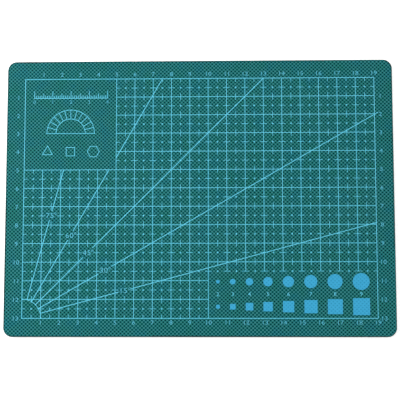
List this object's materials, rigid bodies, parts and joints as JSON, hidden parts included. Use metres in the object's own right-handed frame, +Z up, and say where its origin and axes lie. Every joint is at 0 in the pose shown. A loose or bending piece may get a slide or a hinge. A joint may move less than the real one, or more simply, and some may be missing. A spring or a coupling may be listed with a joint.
{
  "type": "self-healing cutting mat",
  "caption": "Small flat laminated cutting mat with rounded corners and a printed centimetre grid with angle rays and size gauges.",
  "frame": {"origin": "centre of the mat's flat underside", "axes": "+X along the long side, towards the higher column numbers; +Y along the short side, away from the user; +Z up, out of the printed face"},
  "size_m": [0.21, 0.15, 0.0031],
  "materials": {
    "skin": "soft embossed green vinyl, satin sheen",
    "film": "thin clear bonding film",
    "core": "rigid white sheet, cut edge",
    "ink": "screen-printed light blue ink, satin"
  },
  "bodies": {
    "root": {"bottom_skin": "skin", "lower_film": "film", "core_sheet": "core", "upper_film": "film", "top_skin": "skin", "grid_print": "ink", "circle_gauge_2": "ink", "circle_gauge_3": "ink", "circle_gauge_4": "ink", "circle_gauge_5": "ink", "circle_gauge_6": "ink", "circle_gauge_7": "ink", "circle_gauge_8": "ink", "circle_gauge_9": "ink", "square_gauge_2": "ink", "square_gauge_3": "ink", "square_gauge_4": "ink", "square_gauge_5": "ink", "square_gauge_6": "ink", "square_gauge_7": "ink", "square_gauge_8": "ink", "square_gauge_9": "ink", "gauge_numeral_2": "ink", "gauge_numeral_3": "ink", "gauge_numeral_4": "ink", "gauge_numeral_5": "ink", "gauge_numeral_6": "ink", "gauge_numeral_7": "ink", "gauge_numeral_8": "ink", "gauge_numeral_9": "ink", "panel_scale": "ink", "panel_protractor": "ink", "panel_triangle": "ink", "panel_square": "ink", "panel_hexagon": "ink"}
  },
  "joints": []
}
